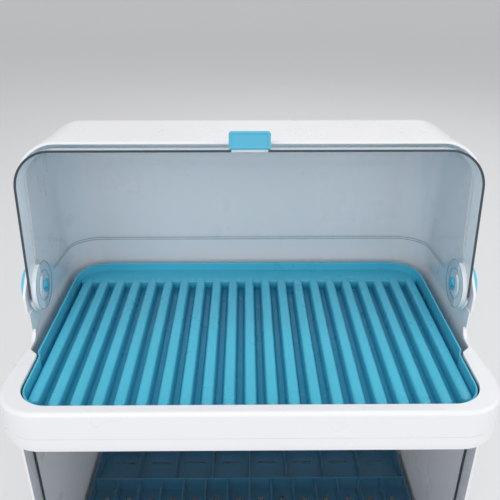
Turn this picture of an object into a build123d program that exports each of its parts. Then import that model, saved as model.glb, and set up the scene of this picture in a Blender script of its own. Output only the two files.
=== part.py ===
from build123d import *
import math
import os

# Two-tier covered dish drainer: ribbed tray under a swing lid above, plate rack behind a flap below.
# Millimetres. X to the right, Y to the back, Z up, origin under the middle of the whole part.
os.makedirs("parts", exist_ok=True)

# Overall sizes
body_depth = 295.0
door_tab_overhang = 10.0
rear_half_width = 224.5
front_flare = 4.5
tier_pitch = 300.0
foot_height = 6.0
rim_height = 44.0
seam_rise = 27.0
white_wall = 2.5
blue_wall = 2.0
clear_wall = 2.2
running_clearance = 0.05
seat_clearance = 0.3
cut_overrun = 5.0

# Base, one moulding used for both tiers
front_corner_radius = 40.0
rear_corner_radius = 40.0
shoulder_front_offset = 55.0
shoulder_rear_offset = 100.0
shoulder_radius = 150.0
skirt_height = 5.0
skirt_inset = 1.5
rim_thickness = 3.0
rim_edge_radius = 4.0
rim_front_width = 11.5
rim_side_width = 19.0
opening_rear_inset = 3.0
opening_front_radius = 30.0
opening_step_lead = 29.5
opening_step_length = 8.0
opening_step_radius = 6.0
step_lead = 32.0
step_fillet_radius = 10.0
rest_rib_length = 40.0
rest_rib_thickness = 3.0
rest_rib_height = 15.2
rest_rib_side_margin = 74.5
rest_rib_end_margin = 52.5
foot_side_margin = 34.5
foot_front_margin = 12.0
foot_radius = 12.0
peg_radius = 3.0
peg_clearance = 0.1

# Upper drain tray
rib_count = 21
rib_side_gap = 0.05
rib_height = 12.0
rib_foot_width = 13.5
rib_top_radius = 3.2
rib_taper_angle = 9.0
rib_rear_margin = 31.0
rib_front_margin = 9.0
rib_hollow_width = 6.5
rib_hollow_height = 8.5
tray_rim_drop = 2.5
tray_side_clearance = 1.2
tray_rear_side_gap = 9.8
tray_rear_margin = 11.5
tray_corner_radius = 38.0

# Plate rack
rack_rear_side_gap = 6.5
rack_cell_depth = 20.0
rack_rim_drop = 1.0
front_cell_side_gap = 2.1
rear_cell_side_gap = 5.5
rack_foot_radius = 6.0
cross_wall_margin = 88.0
fin_thickness = 1.8
cross_wall_thickness = 2.2
front_cell_count = 14
rear_cell_count = 8
front_slot_width = 6.0
front_slot_margin = 14.0
front_slot_lead = 55.8
rear_slot_length = 26.0
rear_slot_width = 4.0
rear_slot_margin = 28.0

# Hood over the upper tier
hood_corner_radius = 40.0
hood_rear_radius = 44.0
hood_roof_drop = 6.6
hood_edge_setback = 22.0
hood_edge_lean = 14.5
hood_edge_rise = 31.0
hood_lobe_rise = 5.0
hood_lobe_radius = 12.0
hood_lid_gap = 6.0
hood_band_width = 20.0
hood_band_rise = 1.2

# Lower housing
housing_corner_radius = 18.0
housing_front_offset = 40.5
fascia_height = 25.0

# Upper lid, drawn flat (closed with its rim level) and turned back to rest
lid_pivot_rise = 43.0
lid_end_gap = 4.5
lid_rim_drop = 27.5
lid_front_draft = 6.0
lid_corner_radius = 37.0
lid_side_gap = 1.2
lid_open_angle = 96.0
lid_trailing_gap = 1.2
ear_radius = 25.5
ear_thickness = 5.6
ear_step_radius = 13.0
ear_step_depth = 1.2
pin_radius = 5.0
cap_radius = 20.0
cap_thickness = 7.0
cap_edge_radius = 4.5
hub_radius = 7.3
hub_thickness = 3.0
hub_slot_width = 2.0
hub_slot_depth = 1.0
tab_width = 38.5
tab_reach = 17.2
tab_thickness = 3.2
tab_notch_width = 34.0
tab_notch_depth = 3.0
tab_corner_radius = 2.0
tab_lip_height = 6.0
tab_lip_thickness = 2.0

# Lower flap door
door_side_gap = 0.8
door_top_offset = 38.0
door_bottom_offset = 5.5
door_flange_offset = 58.0
door_pivot_drop = 38.0
door_ear_radius = 10.0
door_ear_boss_radius = 8.5
door_ear_boss_thickness = 2.0
door_top_rise = 10.0
door_bend_top_share = 0.65
door_bend_bottom_share = 0.26
door_bottom_gap = 0.8
door_pin_radius = 3.0
door_pin_head_radius = 5.5
door_pin_head_thickness = 1.6

# Places worked out from the sizes above
front_y = door_tab_overhang - (body_depth + door_tab_overhang) / 2
rear_y = front_y + body_depth
base_z = foot_height
rim_z = base_z + rim_height
seam_z = rim_z + seam_rise
floor_top_z = base_z + white_wall
rest_z = floor_top_z + rest_rib_height
front_half_width = rear_half_width + front_flare
inner_half_width = rear_half_width - white_wall
inner_rear_y = rear_y - white_wall
lid_pivot_y = (front_y + rear_y) / 2
lid_pivot_z = rim_z + tier_pitch + lid_pivot_rise
lid_reach = body_depth / 2 - lid_end_gap
step_y = lid_pivot_y - step_lead
roof_z = lid_pivot_z + lid_reach + hood_lid_gap
open_angle = math.radians(lid_open_angle)
draft_angle = math.radians(lid_front_draft)
lid_trailing_angle = lid_open_angle - math.degrees(math.asin((lid_pivot_rise - lid_trailing_gap) / lid_reach))
rim_reach = (lid_reach + lid_rim_drop * math.sin(draft_angle)) / math.cos(draft_angle)
open_rim_y = lid_pivot_y - rim_reach * math.cos(open_angle) - lid_rim_drop * math.sin(open_angle)
hood_front_y = open_rim_y + hood_edge_setback
hood_edge_low_y = hood_front_y - hood_edge_lean
hood_edge_low_z = lid_pivot_z + hood_edge_rise
hood_lobe_z = lid_pivot_z + hood_lobe_rise
housing_front_y = front_y + housing_front_offset
housing_top_z = base_z + tier_pitch
opening_rear_half = inner_half_width - opening_rear_inset
tray_rear_half = inner_half_width - tray_rear_side_gap
rack_rear_half = inner_half_width - rack_rear_side_gap
rest_rib_spacing_x = rear_half_width - rest_rib_side_margin
rest_rib_spacing_y = body_depth / 2 - rest_rib_end_margin
foot_spacing_x = (rear_half_width - foot_side_margin) * 2
foot_spacing_y = -(housing_front_y + foot_front_margin) * 2


def plan_outline(half_front, half_rear, y_front, y_rear, shoulder_front, shoulder_rear, radii):
    """Outline seen from above, wider in front, with its front, rear and shoulder radii."""
    front_radius, rear_radius, soft_radius = radii
    corners = [
        (-half_front, y_front),
        (half_front, y_front),
        (half_front, shoulder_front),
        (half_rear, shoulder_rear),
        (half_rear, y_rear),
        (-half_rear, y_rear),
        (-half_rear, shoulder_rear),
        (-half_front, shoulder_front),
    ]
    with BuildSketch() as outline:
        with BuildLine():
            FilletPolyline(
                *corners,
                radius=[front_radius, front_radius, soft_radius, soft_radius,
                        rear_radius, rear_radius, soft_radius, soft_radius],
                close=True,
            )
        make_face()
    return outline.sketch


def base_outline(inset):
    """Outline of the base drawn in by inset."""
    return plan_outline(
        front_half_width - inset, rear_half_width - inset, front_y + inset, rear_y - inset,
        front_y + shoulder_front_offset, front_y + shoulder_rear_offset,
        (front_corner_radius - inset, rear_corner_radius - inset, shoulder_radius),
    )


def dish_outline(inset, half_rear, y_rear, rear_radius):
    """Outline of what lies in the base's opening, drawn in by inset."""
    step_front = step_y - opening_step_lead
    return plan_outline(
        front_half_width - rim_side_width - inset, half_rear - inset,
        front_y + rim_front_width + inset, y_rear - inset,
        step_front, step_front + opening_step_length,
        (opening_front_radius - inset, rear_radius - inset, opening_step_radius),
    )


skirt_face = base_outline(skirt_inset)
base_face = base_outline(0)
base_cavity_face = base_outline(white_wall)
base_opening_face = dish_outline(0, opening_rear_half, inner_rear_y, rear_corner_radius - white_wall)
dish_rear_y = inner_rear_y - tray_rear_margin + tray_side_clearance
dish_wall_inset = tray_side_clearance + blue_wall
tray_face = dish_outline(
    tray_side_clearance, tray_rear_half + tray_side_clearance, dish_rear_y, tray_corner_radius)
tray_inner_face = dish_outline(
    dish_wall_inset, tray_rear_half + tray_side_clearance, dish_rear_y, tray_corner_radius)
rack_face = dish_outline(
    tray_side_clearance, rack_rear_half + tray_side_clearance, dish_rear_y, tray_corner_radius)
rack_inner_face = dish_outline(
    dish_wall_inset, rack_rear_half + tray_side_clearance, dish_rear_y, tray_corner_radius)


# Lower base: skirt, walls, front rim, floor with rest ribs and foot holes
with BuildPart() as lower_base:
    with BuildSketch(Plane.XY.offset(base_z)):
        add(skirt_face)
    extrude(amount=skirt_height)
    with BuildSketch(Plane.XY.offset(base_z + skirt_height)):
        add(base_face)
    extrude(amount=seam_z - base_z - skirt_height)
    with BuildSketch(Plane.YZ) as rim_drop:
        with BuildLine():
            FilletPolyline(
                (front_y - cut_overrun, seam_z + cut_overrun),
                (front_y - cut_overrun, rim_z),
                (step_y, rim_z),
                (step_y, seam_z + cut_overrun),
                radius=[0, 0, step_fillet_radius, 0],
                close=True,
            )
        make_face()
    extrude(amount=front_half_width + cut_overrun, both=True, mode=Mode.SUBTRACT)
    rim_edges = lower_base.edges().filter_by_position(Axis.Z, rim_z, rim_z)
    fillet([e for e in rim_edges if e.center().Y < step_y - step_fillet_radius - rim_edge_radius
            or abs(e.center().X) > rear_half_width - rim_edge_radius], radius=rim_edge_radius)
    with BuildSketch(Plane.XY.offset(floor_top_z)):
        add(base_cavity_face)
    extrude(amount=rim_z - rim_thickness - floor_top_z, mode=Mode.SUBTRACT)
    with BuildSketch(Plane.XY.offset(floor_top_z)):
        add(base_opening_face)
    extrude(amount=seam_z + cut_overrun - floor_top_z, mode=Mode.SUBTRACT)
    with BuildSketch(Plane.XY.offset(floor_top_z)):
        add(base_cavity_face)
        with Locations((0, step_y + rear_y)):
            Rectangle(front_half_width * 2, rear_y * 2, mode=Mode.INTERSECT)
    extrude(amount=seam_z + cut_overrun - floor_top_z, mode=Mode.SUBTRACT)
    with BuildSketch(Plane.XY.offset(floor_top_z)):
        with GridLocations(rest_rib_spacing_x, rest_rib_spacing_y, 3, 3):
            Rectangle(rest_rib_thickness, rest_rib_length)
    extrude(amount=rest_rib_height)
    with BuildSketch(Plane.XY.offset(base_z)):
        with GridLocations(foot_spacing_x, foot_spacing_y, 2, 2):
            Circle(peg_radius + peg_clearance)
    extrude(amount=white_wall, mode=Mode.SUBTRACT)
lower_base.part.label = "lower_base"

with BuildPart() as upper_base:
    add(lower_base.part.moved(Location((0, 0, tier_pitch))))
upper_base.part.label = "upper_base"

# Rubber feet, each with a peg in the base floor
with BuildPart() as foot_pads:
    with BuildSketch():
        with GridLocations(foot_spacing_x, foot_spacing_y, 2, 2):
            Circle(foot_radius)
    extrude(amount=foot_height)
    with BuildSketch(Plane.XY.offset(foot_height)):
        with GridLocations(foot_spacing_x, foot_spacing_y, 2, 2):
            Circle(peg_radius)
    extrude(amount=white_wall)
foot_pads.part.label = "foot_pads"

# Upper tray: dish with rounded ribs that are hollow from below
tray_top_z = rim_z + tier_pitch - tray_rim_drop
tray_bottom_z = rest_z + tier_pitch
tray_floor_z = tray_bottom_z + blue_wall
tray_front_y = front_y + rim_front_width + tray_side_clearance + blue_wall
tray_rear_y = inner_rear_y - tray_rear_margin - blue_wall
rib_front_y = tray_front_y + rib_front_margin
rib_rear_y = tray_rear_y - rib_rear_margin
rib_length = rib_rear_y - rib_front_y
rib_middle_y = (rib_rear_y + rib_front_y) / 2
tray_front_half = front_half_width - rim_side_width - dish_wall_inset
rib_pitch = ((tray_front_half - rib_side_gap) * 2 - rib_foot_width) / (rib_count - 1)
with BuildPart() as rib:
    with BuildSketch(Plane.XY.offset(tray_floor_z)):
        SlotOverall(rib_length, rib_foot_width, rotation=90)
    extrude(amount=rib_height, taper=rib_taper_angle)
    fillet(rib.faces().sort_by(Axis.Z)[-1].edges(), radius=rib_top_radius)

with BuildPart() as upper_tray:
    with BuildSketch(Plane.XY.offset(tray_bottom_z)):
        add(tray_face)
    extrude(amount=tray_top_z - tray_bottom_z)
    with BuildSketch(Plane.XY.offset(tray_floor_z)):
        add(tray_inner_face)
    extrude(amount=tray_top_z - tray_floor_z, mode=Mode.SUBTRACT)
    with Locations((0, rib_middle_y)):
        with GridLocations(rib_pitch, 0, rib_count, 1):
            add(rib.part)
    with BuildSketch(Plane.XY.offset(tray_bottom_z)):
        with Locations((0, rib_middle_y)):
            with GridLocations(rib_pitch, 0, rib_count, 1):
                Rectangle(rib_hollow_width, rib_length - rib_foot_width)
    extrude(amount=blue_wall + rib_hollow_height, mode=Mode.SUBTRACT)
upper_tray.part.label = "upper_tray"


# Plate rack: dish with slots, a cross wall and the dividers that stand between the walls
rack_top_z = rim_z - rack_rim_drop
rack_floor_z = rack_top_z - rack_cell_depth
rack_bottom_z = rack_floor_z - blue_wall
cross_wall_y = inner_rear_y - cross_wall_margin
rack_inner_half = rack_rear_half - blue_wall
front_cell_pitch = (rack_inner_half - front_cell_side_gap) * 2 / front_cell_count
rear_cell_pitch = (rack_inner_half - rear_cell_side_gap) * 2 / rear_cell_count
front_slot_length = cross_wall_y - tray_front_y - front_slot_margin - front_slot_lead
front_slot_y = cross_wall_y - front_slot_margin - front_slot_length / 2
rear_slot_y = tray_rear_y - rear_slot_margin
with BuildPart() as rack_pan:
    with BuildSketch(Plane.XY.offset(rack_bottom_z)):
        add(rack_face)
    extrude(amount=rack_top_z - rack_bottom_z)
    with BuildSketch(Plane.XY.offset(rack_floor_z)):
        add(rack_inner_face)
    extrude(amount=rack_top_z - rack_floor_z, mode=Mode.SUBTRACT)
    with BuildSketch(Plane.XY.offset(rack_bottom_z)):
        with Locations((0, front_slot_y)):
            with GridLocations(front_cell_pitch, 0, front_cell_count, 1):
                SlotOverall(front_slot_length, front_slot_width, rotation=90)
        with Locations((0, rear_slot_y)):
            with GridLocations(rear_cell_pitch, 0, rear_cell_count, 1):
                SlotOverall(rear_slot_length, rear_slot_width)
    extrude(amount=blue_wall, mode=Mode.SUBTRACT)
    with BuildSketch(Plane.XY.offset(rest_z)):
        with GridLocations(rest_rib_spacing_x, rest_rib_spacing_y, 3, 3):
            Circle(rack_foot_radius)
    extrude(amount=rack_bottom_z - rest_z)
rack_pan.part.label = "rack_pan"

with BuildPart() as rack_cross_wall:
    with BuildSketch(Plane.XY.offset(rack_floor_z)):
        with Locations((0, cross_wall_y)):
            Rectangle(rack_inner_half * 2, cross_wall_thickness)
    extrude(amount=rack_cell_depth)
rack_cross_wall.part.label = "rack_cross_wall"

front_fin_end_y = cross_wall_y - cross_wall_thickness / 2
rear_fin_end_y = cross_wall_y + cross_wall_thickness / 2
with BuildPart() as rack_front_fins:
    with BuildSketch(Plane.XY.offset(rack_floor_z)):
        with Locations((0, (tray_front_y + front_fin_end_y) / 2)):
            with GridLocations(front_cell_pitch, 0, front_cell_count - 1, 1):
                Rectangle(fin_thickness, front_fin_end_y - tray_front_y)
        add(rack_inner_face, mode=Mode.INTERSECT)
    extrude(amount=rack_cell_depth)
rack_front_fins.part.label = "rack_front_fins"

with BuildPart() as rack_rear_fins:
    with BuildSketch(Plane.XY.offset(rack_floor_z)):
        with Locations((0, (tray_rear_y + rear_fin_end_y) / 2)):
            with GridLocations(rear_cell_pitch, 0, rear_cell_count - 1, 1):
                Rectangle(fin_thickness, tray_rear_y - rear_fin_end_y)
    extrude(amount=rack_cell_depth)
rack_rear_fins.part.label = "rack_rear_fins"


def base_side_profile(height):
    """Side view of all that the base fills, raised by height, to cut what stands on it."""
    with BuildSketch(Plane.YZ) as profile:
        with BuildLine():
            FilletPolyline(
                (front_y - cut_overrun, rim_z + height),
                (step_y, rim_z + height),
                (step_y, seam_z + height),
                (rear_y + cut_overrun, seam_z + height),
                (rear_y + cut_overrun, -cut_overrun),
                (front_y - cut_overrun, -cut_overrun),
                radius=[0, step_fillet_radius, 0, 0, 0, 0],
                close=True,
            )
        make_face()
    return profile.sketch


def housing_block(inset, y_front):
    """Solid of the lower housing's outline drawn in by inset, from y_front to its back wall."""
    half = rear_half_width - inset
    top = housing_top_z - inset
    with BuildPart() as block:
        with BuildSketch(Plane.XZ.offset(inset - rear_y)):
            with BuildLine():
                FilletPolyline(
                    (-half, 0), (half, 0), (half, top), (-half, top),
                    radius=[0, 0, housing_corner_radius - inset, housing_corner_radius - inset],
                    close=True,
                )
            make_face()
        extrude(amount=rear_y - inset - y_front)
        upright = block.edges().filter_by(Axis.Z).filter_by_position(Axis.Y, rear_y - inset, rear_y - inset)
        fillet(upright, radius=rear_corner_radius - inset)
    return block.part


# Lower housing: side walls, back, top plate, fascia over the flap and pegs for the tier above
door_pivot_y = front_y + (door_top_offset + door_flange_offset) / 2
door_pivot_z = housing_top_z - door_pivot_drop
housing_shell = housing_block(0, housing_front_y)
housing_core = housing_block(white_wall, front_y)
base_profile_low = base_side_profile(0)
with BuildPart() as fascia:
    add(housing_shell)
    with BuildSketch(Plane.YZ):
        with Locations((housing_front_y + white_wall / 2, housing_top_z - fascia_height / 2)):
            Rectangle(white_wall, fascia_height)
    extrude(amount=rear_half_width, both=True, mode=Mode.INTERSECT)
with BuildPart() as lower_housing:
    add(housing_shell)
    add(housing_core, mode=Mode.SUBTRACT)
    extrude(base_profile_low, amount=front_half_width, both=True, mode=Mode.SUBTRACT)
    add(fascia.part)
    with BuildSketch(Plane.XY.offset(housing_top_z)):
        with GridLocations(foot_spacing_x, foot_spacing_y, 2, 2):
            Circle(peg_radius)
    extrude(amount=white_wall)
    with BuildSketch(Plane.YZ):
        with Locations((door_pivot_y, door_pivot_z)):
            Circle(door_pin_radius + peg_clearance)
    extrude(amount=rear_half_width, both=True, mode=Mode.SUBTRACT)
lower_housing.part.label = "lower_housing"


def hood_block(inset, y_front, z_bottom):
    """Solid of the hood's outline drawn in by inset: sloping roof, rounded back and sides."""
    half = rear_half_width - inset
    slope = hood_roof_drop / (rear_y - hood_front_y)
    y_back = rear_y - inset
    with BuildPart() as block:
        with BuildSketch(Plane.YZ):
            with BuildLine():
                FilletPolyline(
                    (y_front, z_bottom),
                    (y_back, z_bottom),
                    (y_back, roof_z - inset - slope * (y_back - hood_front_y)),
                    (y_front, roof_z - inset - slope * (y_front - hood_front_y)),
                    radius=[0, 0, hood_rear_radius - inset, 0],
                    close=True,
                )
            make_face()
        extrude(amount=half, both=True)
        rounded = [e for e in block.edges()
                   if abs(e.center().X) > half - skirt_inset and e.center().Y > y_front + skirt_inset
                   and e.center().Z > z_bottom + skirt_inset]
        fillet(rounded, radius=hood_corner_radius - inset)
    return block.part


# Upper hood: sloping roof, raised front band, front edge with a lobe round each hinge
hood_seam_z = seam_z + tier_pitch
cut_top_z = roof_z + hood_roof_drop * 2
cut_top_lean = hood_edge_lean * (cut_top_z - hood_edge_low_z) / (roof_z - hood_edge_low_z)


def hood_edge_profile(setback, y_far):
    """Side view of all from the hood's front edge, moved back by setback, to y_far."""
    with BuildSketch(Plane.YZ) as profile:
        with BuildLine():
            FilletPolyline(
                (step_y + setback, hood_seam_z - cut_overrun),
                (step_y + setback, hood_lobe_z),
                (hood_edge_low_y + setback, hood_edge_low_z),
                (hood_edge_low_y + cut_top_lean + setback, cut_top_z),
                (y_far, cut_top_z),
                (y_far, hood_seam_z - cut_overrun),
                radius=[0, hood_lobe_radius, hood_lobe_radius, 0, 0, 0],
                close=True,
            )
        make_face()
    return profile.sketch


hood_shell = hood_block(0, front_y, hood_seam_z)
hood_band = hood_block(-hood_band_rise, front_y, hood_seam_z)
hood_core = hood_block(white_wall, front_y - cut_overrun, hood_seam_z - cut_overrun)
band_core = hood_block(white_wall - hood_band_rise, front_y - cut_overrun, hood_seam_z - cut_overrun)
hood_front_cut = hood_edge_profile(0, front_y - cut_overrun)
hood_band_cut = hood_edge_profile(hood_band_width, rear_y + cut_overrun)
band_core_cut = hood_edge_profile(hood_band_width - white_wall, rear_y + cut_overrun)
with BuildPart() as band_hollow:
    add(band_core)
    extrude(band_core_cut, amount=front_half_width, both=True, mode=Mode.SUBTRACT)
with BuildPart() as upper_hood:
    add(hood_band)
    extrude(hood_band_cut, amount=front_half_width, both=True, mode=Mode.SUBTRACT)
    add(hood_shell)
    extrude(hood_front_cut, amount=front_half_width, both=True, mode=Mode.SUBTRACT)
    for side in (-1, 1):
        with BuildSketch(Plane.YZ.offset(side * inner_half_width)):
            with Locations((lid_pivot_y, lid_pivot_z)):
                Circle(cap_radius)
            with Locations((lid_pivot_y, hood_seam_z - cap_radius)):
                Rectangle(cap_radius * 2, cap_radius * 2, mode=Mode.SUBTRACT)
        extrude(amount=side * (white_wall + hood_band_rise))
    add(hood_core, mode=Mode.SUBTRACT)
    add(band_hollow.part, mode=Mode.SUBTRACT)
    with BuildSketch(Plane.YZ):
        with Locations((lid_pivot_y, lid_pivot_z)):
            Circle(pin_radius + peg_clearance)
    extrude(amount=front_half_width, both=True, mode=Mode.SUBTRACT)
upper_hood.part.label = "upper_hood"


door_z_low = rim_z + door_bottom_gap


def arc_point(radius, angle):
    """Point of a circle about the lid's pivot in side view, from the back upwards."""
    return radius * math.cos(math.radians(angle)), radius * math.sin(math.radians(angle))


def lid_block(inset):
    """Solid of the lid's front wall and arc drawn in by inset, past its rim and its trailing edge."""
    reach = lid_reach - inset
    half = inner_half_width - lid_side_gap - inset
    last_angle = lid_trailing_angle / 2
    arc_start = arc_point(reach, 180 - lid_front_draft)
    arc_end = arc_point(reach, last_angle)
    low_z = -lid_rim_drop - cut_overrun
    low_y = (low_z * math.sin(draft_angle) - reach) / math.cos(draft_angle)
    with BuildPart() as block:
        with BuildSketch(Plane.YZ):
            with BuildLine():
                Line((low_y, low_z), arc_start)
                ThreePointArc(arc_start, arc_point(reach, 90), arc_end)
                Polyline(arc_end, (arc_end[0], low_z), (low_y, low_z))
            make_face()
        extrude(amount=half, both=True)
        side_edges = [e for e in block.edges() if abs(e.center().X) > half - clear_wall]
        rounded = [e for e in side_edges if e.geom_type == GeomType.CIRCLE
                   or e.center().Y < -reach + clear_wall]
        fillet(rounded, radius=lid_corner_radius - inset)
    return block.part


trailing_point = arc_point(lid_reach, lid_trailing_angle)
lid_far = rim_reach + cut_overrun
trailing_far_y = lid_rim_drop + (trailing_point[0] - lid_rim_drop) * lid_far / trailing_point[1]
with BuildSketch(Plane.YZ) as lid_side:
    with BuildLine():
        Polyline(
            (0, -lid_rim_drop), (-lid_far, -lid_rim_drop), (-lid_far, lid_far),
            (trailing_far_y, lid_far), (lid_rim_drop, 0),
        )
        CenterArc((0, 0), lid_rim_drop, 0, -90)
    make_face()

# Upper lid, drawn with its rim level and its pivot at the origin, then turned back into the hood
lid_rest = Location((0, lid_pivot_y, lid_pivot_z), (-lid_open_angle, 0, 0))
lid_inner_half = inner_half_width - lid_side_gap - clear_wall
ear_face_x = lid_inner_half - ear_thickness
lid_shell = lid_block(0)
lid_core = lid_block(clear_wall)
with BuildPart() as lid_flat:
    add(lid_shell)
    extrude(lid_side.sketch, amount=inner_half_width, both=True, mode=Mode.INTERSECT)
    add(lid_core, mode=Mode.SUBTRACT)
    for side in (-1, 1):
        with BuildSketch(Plane.YZ.offset(side * lid_inner_half)):
            Circle(ear_radius)
        extrude(amount=-side * (ear_thickness - ear_step_depth))
        with BuildSketch(Plane.YZ.offset(side * lid_inner_half)):
            Circle(ear_step_radius)
        extrude(amount=-side * ear_thickness)
    with BuildSketch(Plane.YZ):
        Circle(pin_radius + running_clearance)
    extrude(amount=front_half_width, both=True, mode=Mode.SUBTRACT)
    with BuildSketch(Plane.XZ.offset(rim_reach - cut_overrun)):
        with Locations((0, (tab_notch_depth - cut_overrun) / 2 - lid_rim_drop)):
            Rectangle(tab_notch_width, tab_notch_depth + cut_overrun)
    extrude(amount=cut_overrun * 2, mode=Mode.SUBTRACT)
with BuildPart() as upper_lid:
    add(lid_flat.part.moved(lid_rest))
upper_lid.part.label = "upper_lid"


def tab_block(wall_y, rim_height_z, reach):
    """Finger tab: plate in front of a clear wall, and an upright flange that overruns the wall's face."""
    with BuildPart() as block:
        with BuildSketch(Plane.XY.offset(rim_height_z)):
            with Locations((0, wall_y - reach / 2)):
                RectangleRounded(tab_width, reach, tab_corner_radius)
        extrude(amount=tab_thickness)
        with BuildSketch(Plane.XY.offset(rim_height_z)):
            with Locations((0, wall_y)):
                Rectangle(tab_width, tab_lip_thickness * 2)
        extrude(amount=tab_lip_height)
    return block.part


with BuildPart() as lid_tab_flat:
    add(tab_block(-rim_reach, -lid_rim_drop, tab_reach))
    add(lid_shell, mode=Mode.SUBTRACT)
with BuildPart() as lid_handle:
    add(lid_tab_flat.part.moved(lid_rest))
lid_handle.part.label = "lid_handle"


cap_seat_x = rear_half_width + hood_band_rise


def hinge_cap(side):
    """Domed cap outside the hood with the shaft that carries the lid's ear."""
    with BuildPart() as cap:
        with BuildSketch(Plane.YZ.offset(side * cap_seat_x)):
            with Locations((lid_pivot_y, lid_pivot_z)):
                Circle(cap_radius)
        extrude(amount=side * cap_thickness)
        fillet(cap.faces().sort_by(Axis.X)[-1 if side > 0 else 0].edges(), radius=cap_edge_radius)
        with BuildSketch(Plane.YZ.offset(side * cap_seat_x)):
            with Locations((lid_pivot_y, lid_pivot_z)):
                Circle(pin_radius)
        extrude(amount=-side * (cap_seat_x - ear_face_x + seat_clearance))
    return cap.part


def hinge_hub(side):
    """Slotted button on the inner end of the hinge shaft."""
    hub_x = side * (ear_face_x - seat_clearance)
    with BuildPart() as hub:
        with BuildSketch(Plane.YZ.offset(hub_x)):
            with Locations((lid_pivot_y, lid_pivot_z)):
                Circle(hub_radius)
        extrude(amount=-side * hub_thickness)
        with BuildSketch(Plane.YZ.offset(hub_x - side * hub_thickness)):
            with Locations((lid_pivot_y, lid_pivot_z)):
                Rectangle(hub_radius, hub_slot_width)
                Rectangle(hub_slot_width, hub_radius)
        extrude(amount=side * hub_slot_depth, mode=Mode.SUBTRACT)
    return hub.part


with BuildPart() as hinge_cap_left:
    add(hinge_cap(-1))
hinge_cap_left.part.label = "hinge_cap_left"
with BuildPart() as hinge_cap_right:
    add(hinge_cap(1))
hinge_cap_right.part.label = "hinge_cap_right"
with BuildPart() as hinge_hub_left:
    add(hinge_hub(-1))
hinge_hub_left.part.label = "hinge_hub_left"
with BuildPart() as hinge_hub_right:
    add(hinge_hub(1))
hinge_hub_right.part.label = "hinge_hub_right"


def door_outline(inset, overrun):
    """Side view of the flap: upright top, swept-out bottom, round ear, or the hollow inside it."""
    y_top = front_y + door_top_offset + inset
    y_bottom = front_y + door_bottom_offset + inset
    z_bend_top = door_z_low + (door_pivot_z - door_z_low) * door_bend_top_share
    z_bend_bottom = door_z_low + (door_pivot_z - door_z_low) * door_bend_bottom_share
    bend_middle = ((y_top + y_bottom) / 2, (z_bend_top + z_bend_bottom) / 2)
    y_flange = front_y + door_flange_offset + overrun
    ear = door_ear_radius - inset
    with BuildSketch(Plane.YZ) as outline:
        with BuildLine():
            Line((y_bottom, door_z_low - overrun), (y_bottom, z_bend_bottom))
            TangentArc((y_bottom, z_bend_bottom), bend_middle, tangent=(0, 1))
            TangentArc((y_top, z_bend_top), bend_middle, tangent=(0, -1))
            Line((y_top, z_bend_top), (y_top, door_pivot_z))
            CenterArc((door_pivot_y, door_pivot_z), ear, 180, -90)
            if overrun:
                Polyline(
                    (door_pivot_y, door_pivot_z + ear),
                    (y_flange, door_pivot_z + ear),
                    (y_flange, door_z_low - overrun),
                    (y_bottom, door_z_low - overrun),
                )
            else:
                CenterArc((door_pivot_y, door_pivot_z), ear, 90, -90)
                Polyline((y_flange, door_pivot_z), (y_flange, door_z_low), (y_bottom, door_z_low))
        make_face()
    return outline.sketch


# Lower flap door: swept front wall with side flanges, ear bosses and a notch for its tab
door_half = inner_half_width - door_side_gap
door_shell_face = door_outline(0, 0)
door_core_face = door_outline(clear_wall, cut_overrun)
with BuildPart() as lower_door:
    extrude(door_shell_face, amount=door_half, both=True)
    extrude(door_core_face, amount=door_half - clear_wall, both=True, mode=Mode.SUBTRACT)
    for side in (-1, 1):
        with BuildSketch(Plane.YZ.offset(side * (door_half - clear_wall))):
            with Locations((door_pivot_y, door_pivot_z)):
                Circle(door_ear_boss_radius - clear_wall)
        extrude(amount=-side * door_ear_boss_thickness)
    with BuildSketch(Plane.YZ):
        with Locations((door_pivot_y, door_pivot_z)):
            Circle(door_pin_radius + running_clearance)
    extrude(amount=front_half_width, both=True, mode=Mode.SUBTRACT)
    with BuildSketch(Plane.XZ.offset(-front_y - door_bottom_offset - cut_overrun)):
        with Locations((0, door_z_low + (tab_notch_depth - cut_overrun) / 2)):
            Rectangle(tab_notch_width, tab_notch_depth + cut_overrun)
    extrude(amount=cut_overrun * 2, mode=Mode.SUBTRACT)
lower_door.part.label = "lower_door"

door_tab = tab_block(front_y + door_bottom_offset, door_z_low, door_tab_overhang + door_bottom_offset)
with BuildPart() as door_handle:
    add(door_tab)
    extrude(door_shell_face, amount=tab_width, both=True, mode=Mode.SUBTRACT)
door_handle.part.label = "door_handle"

# Pins that carry the flap's ears, with a flat head outside the housing
with BuildPart() as door_pins:
    for side in (-1, 1):
        with BuildSketch(Plane.YZ.offset(side * rear_half_width)):
            with Locations((door_pivot_y, door_pivot_z)):
                Circle(door_pin_head_radius)
        extrude(amount=side * door_pin_head_thickness)
        with BuildSketch(Plane.YZ.offset(side * rear_half_width)):
            with Locations((door_pivot_y, door_pivot_z)):
                Circle(door_pin_radius)
        extrude(amount=-side * (rear_half_width - door_half + clear_wall + door_ear_boss_thickness))
door_pins.part.label = "door_pins"

pieces = (
    foot_pads, lower_base, lower_housing, upper_base, upper_hood, upper_tray,
    rack_pan, rack_cross_wall, rack_front_fins, rack_rear_fins,
    upper_lid, lid_handle, hinge_cap_left, hinge_cap_right, hinge_hub_left, hinge_hub_right,
    lower_door, door_handle, door_pins,
)
for piece in pieces:
    export_step(piece.part, "parts/" + piece.part.label + ".step")
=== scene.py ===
"""Two-tier covered dish drainer: ribbed tray under a swing lid, plate rack behind a flap.

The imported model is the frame, in metres: X to the right, Y to the back, Z up.
"""

import logging
import math
from dataclasses import dataclass, field
from enum import Enum

import bmesh
import bpy
from mathutils import Euler, Matrix, Vector


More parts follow.
